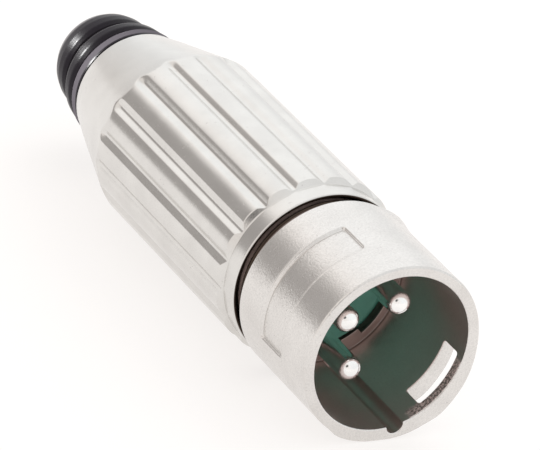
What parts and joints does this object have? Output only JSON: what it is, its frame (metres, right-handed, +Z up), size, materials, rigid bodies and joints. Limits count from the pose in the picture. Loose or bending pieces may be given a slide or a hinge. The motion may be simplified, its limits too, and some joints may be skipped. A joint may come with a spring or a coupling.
{
  "type": "xlr plug",
  "caption": "Male audio cable plug with round contacts in a metal shell, a ribbed screw-on handle and a rubber bend relief.",
  "frame": {"origin": "on the plug's axis, in the plane of the mating rim", "axes": "+Y along the plug's axis from the mating rim to the cable end, +Z up as the plug lies on two ribs, +X to the right seen from the front"},
  "size_m": [0.0189, 0.0622, 0.0186],
  "materials": {
    "satin_nickel_shell": "satin nickel plate on a zinc die-casting, with a glossier bore",
    "satin_nickel_handle": "satin nickel plate on a zinc die-casting",
    "green_plastic": "dark green moulded thermoplastic",
    "silver_contact": "bright silver plate",
    "tinned_brass": "tinned brass sheet",
    "clamp_plastic": "dark moulded nylon",
    "boot_rubber": "black moulded rubber with a slight gloss"
  },
  "bodies": {
    "shell": {"front_shell": "satin_nickel_shell", "contact_insert": "green_plastic", "pin_1": "silver_contact", "pin_2": "silver_contact", "pin_3": "silver_contact", "ground_lug": "tinned_brass", "cable_clamp": "clamp_plastic"},
    "boot_body": {"boot": "boot_rubber"},
    "handle_body": {"handle": "satin_nickel_handle"}
  },
  "joints": [
    {"name": "boot_slide", "type": "slide", "parent": "shell", "child": "boot_body", "axis": [0, 1, 0], "range_m": [0, 0.006]},
    {"name": "handle_turn", "type": "hinge", "parent": "boot_body", "child": "handle_body", "pos_m": [0, 0.03, 0], "axis": [0, 1, 0], "range_deg": [0, 2160]}
  ],
  "couplings": [
    {"joint": "boot_slide", "follows": "handle_turn", "m_per_rad": 0.00015915}
  ]
}
